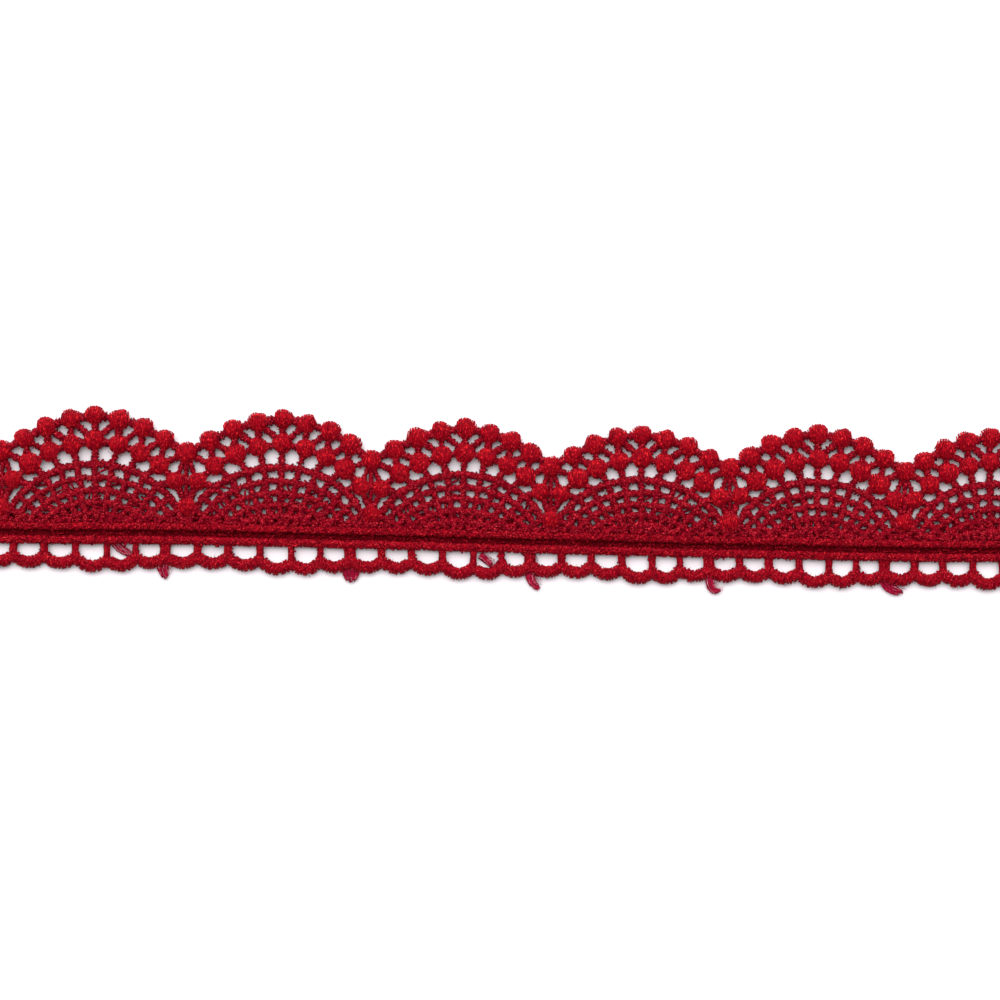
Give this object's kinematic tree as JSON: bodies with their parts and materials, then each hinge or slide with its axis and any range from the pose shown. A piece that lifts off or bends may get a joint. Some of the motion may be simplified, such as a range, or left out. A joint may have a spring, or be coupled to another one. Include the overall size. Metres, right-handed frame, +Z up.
{
  "type": "guipure lace edging trim",
  "caption": "Flat length of scalloped guipure lace edging: fans with rings of padded balls over a corded footing and a ladder edge.",
  "frame": {"origin": "middle of the trim's outline, on the table that it lies on", "axes": "+X along the trim's length, +Y across it towards the scallops, +Z up out of its face side"},
  "size_m": [0.2057, 0.0326, 0.0024],
  "materials": {
    "rayon_thread": "satin embroidery thread, dyed crimson red"
  },
  "bodies": {
    "root": {"lace_trim": "rayon_thread"}
  },
  "joints": []
}
